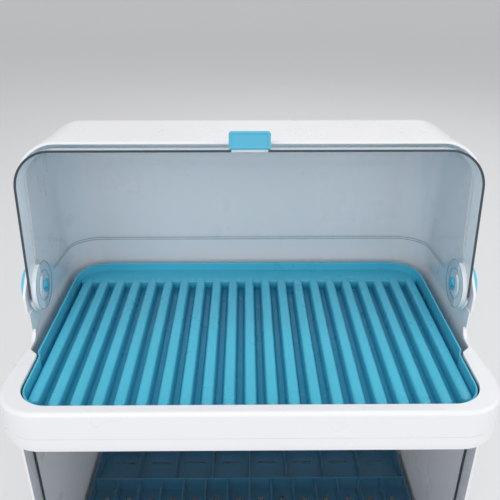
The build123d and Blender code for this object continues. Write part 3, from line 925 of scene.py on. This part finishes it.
@dataclass
class DrainTray:
    """The blue tray of the upper tier: a dish with a raised landing at the back and rounded ribs.

    The foot shares give a rib's flared foot as shares of its flare, inward and up.
    """

    body: Body = Body.TRAY
    outline: DishOutline = field(default_factory=lambda: DishOutline(rear_half=213.4 * MM))
    clearance: float = 1.2 * MM
    wall: float = 2 * MM
    lip_steps: int = 6
    inner_fillet: float = 2 * MM
    fillet_steps: int = 4
    under_round: float = 1.5 * MM
    under_bulge: float = 0.4 * MM
    rib_count: int = 21
    rib_pitch: float = 20 * MM
    rib_half: float = 6.75 * MM
    rib_height: float = 12 * MM
    rib_taper: float = 9.0
    rib_round: float = 3.2 * MM
    rib_front_y: float = -118.5 * MM
    rib_rear_y: float = 118 * MM
    rib_corner_trim: float = 6 * MM
    rib_crown_steps: int = 6
    rib_end_steps: int = 10
    foot_flare: float = 1.3 * MM
    foot_shares: tuple[Point, ...] = ((-1.0, -0.3), (-1.0, 0.0), (-0.35, 0.25), (0.1, 1.0))
    landing_y: float = 109.7 * MM
    landing_drop: float = 1.3 * MM
    landing_inset: float = 2.8 * MM
    landing_soft: float = 1.2 * MM
    landing_bulge: float = 0.36 * MM

    def dish(self, form: Form, bottom: float, top: float) -> None:
        """Builds the floor and the walls with their rounded lip.

        Args:
            form: The mesh that takes them.
            bottom: Height of the tray's underside.
            top: Height of its lip.
        """
        outer, half, fillet = self.clearance, self.wall / 2, self.inner_fillet
        foot_centre = (outer + self.wall + fillet, bottom + self.wall + fillet)
        under = [(outer + self.under_round, bottom), (outer + self.under_bulge, bottom + self.under_bulge),
                 (outer, bottom + self.under_round)]
        lip = arc((outer + half, top - half), half, 0, QUARTER * 2, self.lip_steps)
        foot = arc(foot_centre, fillet, QUARTER * 2, QUARTER * 3, self.fillet_steps)
        profile = under + lip + foot
        form.loft([[(x, y, height) for x, y in self.outline.loop(inset)] for inset, height in profile])

    def landing(self, form: Form, floor: float, top: float) -> None:
        """Builds the raised landing behind the channels.

        Args:
            form: The mesh that takes it.
            floor: Height of the tray's floor.
            top: Height of the landing.
        """
        edge = [(x, y) for x, y in self.outline.loop(self.landing_inset) if y > self.landing_y]
        levels = [(0.0, floor - self.wall / 2), (0.0, top - self.landing_soft),
                  (self.landing_bulge, top - self.landing_bulge), (self.landing_soft, top)]
        loops = []
        for inset, height in levels:
            front = self.landing_y + inset
            ends = [(edge[-1][0], front, height), (edge[0][0], front, height)]
            loops.append([(x, y, height) for x, y in edge] + ends)
        form.loft(loops)

    def rib(self, form: Form, x: float, floor: float, trim: float) -> None:
        """Builds one rib.

        Args:
            form: The mesh that takes it.
            x: Its middle.
            floor: Height of the tray's floor.
            trim: How much shorter it is in front.
        """
        taper = math.radians(self.rib_taper)
        hub_height = self.rib_height - self.rib_round
        hub_inset = hub_height * math.tan(taper) + self.rib_round / math.cos(taper)
        crown = arc((0.0, hub_height), self.rib_round, self.rib_taper, QUARTER, self.rib_crown_steps)
        profile = [(across * self.foot_flare, up * self.foot_flare) for across, up in self.foot_shares]
        profile += [(hub_inset - reach, height) for reach, height in crown]
        front, rear = self.rib_front_y + trim + self.rib_half, self.rib_rear_y - self.rib_half
        loops = []
        for inset, height in profile:
            radius = self.rib_half - inset
            outline = arc((x, front), radius, QUARTER * 2, QUARTER * 4, self.rib_end_steps)
            outline += arc((x, rear), radius, 0, QUARTER * 2, self.rib_end_steps)
            loops.append([(px, py, floor + height) for px, py in outline])
        form.loft(loops)

    def build(self) -> None:
        """Builds the tray in place of the plain one."""
        low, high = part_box("upper_tray")
        floor = low[2] + self.wall
        form = Form()
        self.dish(form, low[2], high[2])
        self.landing(form, floor, floor + self.rib_height - self.landing_drop)
        last = self.rib_count - 1
        for index in range(self.rib_count):
            trim = self.rib_corner_trim if index in (0, last) else 0.0
            self.rib(form, (index - last / 2) * self.rib_pitch, floor, trim)
        form.piece("ribbed_tray", BLUE, self.body, ("upper_tray",))


@dataclass
class PlateRack:
    """The blue plate rack of the lower tier: pan, cross wall and two rows of dividers.

    A wall's section follows from half its thickness: its foot flares by the flare share, along the foot
    shares, outward and up, and its crown is an arc with the crown share as its radius.
    """

    body: Body = Body.RACK
    outline: DishOutline = field(default_factory=lambda: DishOutline(rear_half=216.7 * MM))
    lip_inset: float = 2.2 * MM
    lip_radius: float = 1.05 * MM
    lip_sink: float = 0.35 * MM
    front_count: int = 13
    rear_count: int = 7
    half_fin: float = 0.9 * MM
    flare_share: float = 0.6
    foot_shares: tuple[Point, ...] = ((1.0, 0.0), (0.25, 0.4), (0.0, 1.5))
    crown_share: float = 0.85
    crown_steps: int = 8

    def lip(self) -> None:
        """Builds the rounded lip on the pan's wall."""
        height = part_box("rack_pan")[1][2] - self.lip_sink
        path = [(x, y, height) for x, y in self.outline.loop(self.lip_inset)]
        form = Form()
        form.tube(path, self.lip_radius, closed=True)
        form.piece("rack_pan_lip", SHADED_RACK_BLUE, self.body)

    def wall(self, form: Form, start: Place, end: Place, half: float) -> None:
        """Builds an upright wall with a rounded top and a small fillet at its foot.

        Args:
            form: The mesh that takes it.
            start: Where its foot begins.
            end: Where its top ends.
            half: Half its thickness.
        """
        flare, crown = half * self.flare_share, half * self.crown_share
        side = [(half + flare * across, start[2] + flare * up) for across, up in self.foot_shares]
        section = side + arc((0.0, end[2] - crown), crown, 0, QUARTER * 2, self.crown_steps)
        section += [(-across, z) for across, z in reversed(side)]
        along = (Vector(end[:2]) - Vector(start[:2])).normalized()
        loops = []
        for x, y, _ in (start, end):
            loops.append([(x - along.y * across, y + along.x * across, z) for across, z in section])
        form.loft(loops)

    def dividers(self, node: str, count: int) -> None:
        """Builds a row of dividers with rounded tops, in place of the plain ones.

        Args:
            node: The CAD node of the row.
            count: How many dividers stand in it.
        """
        low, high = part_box(node)
        first = low[0] + self.half_fin
        pitch = (high[0] - self.half_fin - first) / (count - 1)
        form = Form()
        for index in range(count):
            x = first + index * pitch
            self.wall(form, (x, low[1], low[2]), (x, high[1], high[2]), self.half_fin)
        form.piece(node.replace("fins", "dividers"), SHADED_RACK_BLUE, self.body, (node,))

    def cross_wall(self) -> None:
        """Builds the cross wall with a rounded top, in place of the plain one."""
        low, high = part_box("rack_cross_wall")
        middle = (low[1] + high[1]) / 2
        form = Form()
        self.wall(form, (low[0], middle, low[2]), (high[0], middle, high[2]), (high[1] - low[1]) / 2)
        form.piece("rack_middle_wall", SHADED_RACK_BLUE, self.body, ("rack_cross_wall",))

    def build(self) -> None:
        """Builds and dresses the rack."""
        dress(("rack_pan",), SHADED_RACK_BLUE)
        self.lip()
        self.dividers("rack_front_fins", self.front_count)
        self.dividers("rack_rear_fins", self.rear_count)
        self.cross_wall()


@dataclass
class FingerTab:
    """A light-blue finger tab on a clear cover's rim, drawn with the rim level and then put in place."""

    name: str
    body: Body
    node: str
    rim_y: float
    rim_z: float
    reach: float
    lean: float = 0.0
    place: Matrix = field(default_factory=Matrix)
    width: float = 38.5 * MM
    thickness: float = 3.2 * MM
    lip_height: float = 6 * MM
    lip_thickness: float = 2 * MM
    lip_edge: float = 0.81 * MM
    corner: float = 3 * MM
    edge: float = 0.9 * MM
    border: float = 1.5 * MM
    recess: float = 0.5 * MM

    def build(self) -> None:
        """Builds the tab in place of the plain one."""
        half = self.width / 2
        form = Form()
        form.block((-half, self.rim_y - self.reach, self.rim_z),
                   (half, self.rim_y, self.rim_z + self.thickness), self.corner, self.edge)
        for facing in (Vector((0, 0, -1)), Vector((0, 0, 1))):
            form.recess(facing, self.border, self.recess)
        form.block((-half, self.rim_y - self.lip_thickness, self.rim_z),
                   (half, self.rim_y, self.rim_z + self.lip_height), self.edge, self.lip_edge)
        slope = math.tan(math.radians(self.lean))
        for vert in form.mesh.verts:
            vert.co.y += (vert.co.z - self.rim_z) * slope
        form.mesh.transform(self.place)
        form.piece(self.name, LIGHT_BLUE, self.body, (self.node,))


@dataclass
class SwingLid:
    """The clear lid that turns back into the hood, with its ears, edge beads and finger tab.

    The pivot is a pair of Y and Z. An ear ring is a pair of its radius and its distance in X from the
    middle.
    """

    body: Body = Body.LID
    pivot: Point = (5 * MM, 393 * MM)
    rim_drop: float = 27.5 * MM
    rim_reach: float = 146.7 * MM
    open_angle: float = 96.0
    draft: float = 6.0
    inner_half: float = 218.6 * MM
    inner_reach: float = 140.8 * MM
    inner_corner: float = 34.8 * MM
    bead_count: int = 2
    bead_radius: float = 0.4 * MM
    bead_angle: float = -5.2
    bead_spacing: float = 2.6 * MM
    bead_start: float = 47 * MM
    ear_rings: tuple[Point, ...] = ((24.9 * MM, 214.3 * MM), (16.0 * MM, 214.3 * MM))
    ring_radius: float = 0.4 * MM
    ring_steps: int = 64
    wire_sides: int = 8
    tint: Colour = (0.996, 0.998, 0.999)
    haze: float = 0.002
    # Depth of the pale strip of painted reflection along the front rim
    reflection_strip_depth: float = 24 * MM
    tab_reach: float = 17.2 * MM

    def placement(self) -> Matrix:
        """The turn from the lid with its rim level to the open lid."""
        turn = Matrix.Rotation(-math.radians(self.open_angle), 4, "X")
        return Matrix.Translation((0, *self.pivot)) @ turn

    def clear_finish(self) -> ClearPlastic:
        """Makes the lid's clear plastic, with painted refraction darkness at its front rim and a pale strip
        of painted reflection next to it.

        Returns:
            The finish.
        """
        down = self.placement().to_3x3() @ Vector((0, 0, -1))
        rim = Vector((0, *self.pivot)) + down * self.rim_drop
        # Painted refraction darkness at the front rim, with painted reflection beside it
        edge = PaintedCutEdge(tuple(rim), tuple(down), srgb(58, 68, 78), reflection_strip_depth=self.reflection_strip_depth)
        return ClearPlastic("lid_clear_sheet", Slot.CLEAR, self.tint, self.haze, edge=edge)

    def edge_beads(self) -> None:
        """Builds the two fine beads near the lid's rear edge, inside the clear wall, in clear plastic with
        painted shade.
        """
        turn = math.radians(self.bead_angle)
        along = Vector((0, math.cos(turn), math.sin(turn)))
        across = Vector((0, math.sin(turn), -math.cos(turn)))
        corners = [(-self.inner_half, self.bead_start), (-self.inner_half, self.inner_reach),
                   (self.inner_half, self.inner_reach), (self.inner_half, self.bead_start)]
        path = rounded(corners, [self.inner_corner] * 4, closed=False)
        form = Form()
        for bead in range(self.bead_count):
            base = Vector((0, *self.pivot)) + across * self.bead_spacing * bead
            places = [tuple(base + along * reach + Vector((x, 0, 0))) for x, reach in path]
            form.tube(places, self.bead_radius, sides=self.wire_sides)
        form.piece("lid_edge_beads", SHADED_CLEAR_LINE, self.body)

    def rings(self) -> None:
        """Builds the fine rings on the clear ears, in clear plastic with painted shade."""
        form = Form()
        for side in Side:
            for radius, x in self.ear_rings:
                path = [(side.value * x, y, z) for y, z in circle(self.pivot, radius, self.ring_steps)]
                form.tube(path, self.ring_radius, closed=True, sides=self.wire_sides)
        form.piece("lid_ear_rings", SHADED_CLEAR_LINE, self.body)

    def build(self) -> None:
        """Builds and dresses the lid."""
        dress(("upper_lid",), self.clear_finish())
        self.edge_beads()
        self.rings()
        tab = FingerTab("lid_finger_tab", self.body, "lid_handle", -self.rim_reach, -self.rim_drop,
                        self.tab_reach, self.draft, self.placement())
        tab.build()


@dataclass
class FlapDoor:
    """The clear flap of the lower tier, with its finger tab."""

    body: Body = Body.DOOR
    tint: Colour = (0.985, 0.992, 0.994)
    mirror: float = 0.01
    glare: float = 0.2
    flange_y: float = -84.5 * MM
    rim_y: float = -137 * MM
    rim_z: float = 50.8 * MM
    tab_reach: float = 15.5 * MM

    def clear_finish(self) -> ClearPlastic:
        """Makes the flap's clear plastic, with painted refraction darkness at the rear edges of its side
        flanges.

        Returns:
            The finish.
        """
        # Painted refraction darkness at the rear edges of the side flanges
        edge = PaintedCutEdge((0.0, self.flange_y, 0.0), (0.0, 1.0, 0.0), srgb(40, 46, 50))
        return ClearPlastic("flap_clear_sheet", Slot.CLEAR, self.tint, haze=0.0, mirror=self.mirror,
                            glare=self.glare, edge=edge)

    def build(self) -> None:
        """Builds and dresses the flap."""
        dress(("lower_door",), self.clear_finish())
        tab = FingerTab("flap_finger_tab", self.body, "door_handle", self.rim_y, self.rim_z, self.tab_reach)
        tab.build()


@dataclass(frozen=True)
class Softbox:
    """A soft square light, in metres and watts, and the point that it faces."""

    name: str
    place: Place
    power: float
    size: float = 1.4
    aim: Place = (0.0, 0.0, 0.35)

    def hang(self) -> None:
        """Hangs the light in the studio."""
        light = bpy.data.lights.new(self.name, "AREA")
        light.shape, light.size, light.energy = "SQUARE", self.size, self.power
        lamp = bpy.data.objects.new(self.name, light)
        bpy.context.scene.collection.objects.link(lamp)
        lamp.location = self.place
        lamp.rotation_euler = (Vector(self.aim) - Vector(self.place)).to_track_quat("-Z", "Y").to_euler()


@dataclass
class Studio:
    """Pale floor, soft lights and the camera at the photograph's angle.

    Lengths are in metres and angles in degrees, but the lens and the sensor are in millimetres.
    """

    lights: tuple[Softbox, ...] = (
        Softbox("key_light", (-0.8, -2.0, 1.35), 9.8),
        Softbox("front_fill", (0.6, -2.2, 1.1), 6.0, size=1.8, aim=(0.0, 0.0, 0.4)),
        Softbox("top_light", (0.0, -0.6, 2.4), 12.0),
        Softbox("side_light", (1.8, -0.7, 1.2), 5.0),
        Softbox("back_light", (0.4, 1.8, 1.9), 9.0),
    )
    world_colour: Colour = (0.9, 0.9, 0.9)
    world_strength: float = 0.74
    floor_reach: float = 9.0
    bend_y: float = 4.5
    bend_radius: float = 3.15
    bend_steps: int = 16
    floor_colour: Colour = srgb(226, 227, 229)
    floor_drift: float = 0.02
    floor_spots: float = 3.0
    floor_roughness: float = 0.9
    floor_shine: float = 0.1
    camera_place: Place = (-4 * MM, -538 * MM, 709 * MM)
    camera_pitch: float = 26.95
    camera_yaw: float = 0.45
    camera_near: float = 0.01
    camera_far: float = 60.0
    lens: float = 43.2
    sensor: float = 36.0
    bounces: int = 16
    diffuse_bounces: int = 12
    glossy_bounces: int = 6
    clear_bounces: int = 24

    def floor_paper(self) -> bpy.types.Material:
        """Makes the floor's material.

        Returns:
            The material.
        """
        sheet = NodeSheet("studio_floor_paper")
        lighter = tuple(part * (1 + self.floor_drift) for part in self.floor_colour)
        feeds = {
            "Base Color": sheet.mixed(sheet.noise(self.floor_spots), self.floor_colour, lighter),
            "Roughness": self.floor_roughness,
            "Specular IOR Level": self.floor_shine,
        }
        return sheet.finished(sheet.add("BsdfPrincipled", feeds).outputs["BSDF"])

    def floor(self) -> None:
        """Makes the floor, which curves up far behind the object."""
        reach = self.floor_reach
        centre = (self.bend_y, self.bend_radius)
        bend = arc(centre, self.bend_radius, -QUARTER, 0, self.bend_steps)
        profile = [(-reach, 0.0), *bend, (self.bend_y + self.bend_radius, reach)]
        form = bmesh.new()
        rows = [[form.verts.new((x, y, z)) for x in (-reach, reach)] for y, z in profile]
        for low, high in zip(rows, rows[1:]):
            form.faces.new((low[0], low[1], high[1], high[0]))
        mesh = bpy.data.meshes.new("studio_floor")
        form.to_mesh(mesh)
        form.free()
        mesh.shade_smooth()
        mesh.materials.append(self.floor_paper())
        floor = bpy.data.objects.new("studio_floor", mesh)
        bpy.context.scene.collection.objects.link(floor)

    def camera(self) -> None:
        """Sets the camera where the photograph was taken from."""
        data = bpy.data.cameras.new("photo_camera")
        data.lens, data.sensor_width = self.lens, self.sensor
        data.clip_start, data.clip_end = self.camera_near, self.camera_far
        camera = bpy.data.objects.new("photo_camera", data)
        bpy.context.scene.collection.objects.link(camera)
        camera.location = self.camera_place
        turn = (QUARTER - self.camera_pitch, 0.0, -self.camera_yaw)
        camera.rotation_euler = Euler([math.radians(angle) for angle in turn])
        bpy.context.scene.camera = camera

    def world(self) -> None:
        """Sets the even light from all round."""
        world = bpy.data.worlds.new("studio_world")
        world.use_nodes = True
        ground = world.node_tree.nodes["Background"]
        ground.inputs["Color"].default_value = (*self.world_colour, 1)
        ground.inputs["Strength"].default_value = self.world_strength
        bpy.context.scene.world = world

    def build(self) -> None:
        """Builds the whole studio and lets light reach deep into the cavities."""
        self.floor()
        for light in self.lights:
            light.hang()
        self.camera()
        self.world()
        bpy.context.scene.view_settings.view_transform = "Standard"
        cycles = bpy.context.scene.cycles
        cycles.max_bounces = self.bounces
        cycles.diffuse_bounces = self.diffuse_bounces
        cycles.glossy_bounces = self.glossy_bounces
        cycles.transparent_max_bounces = self.clear_bounces
        LOG.info("studio is ready")


def main() -> None:
    """Builds and dresses every sub-assembly, then the studio."""
    logging.basicConfig(level=logging.INFO, format="%(message)s")
    for part in (Cabinet(), DrainTray(), PlateRack(), SwingLid(), FlapDoor()):
        part.build()
        LOG.info("%s is built and rides on %s", type(part).__name__, part.body.value)
    Studio().build()


if __name__ == "__main__":
    main()
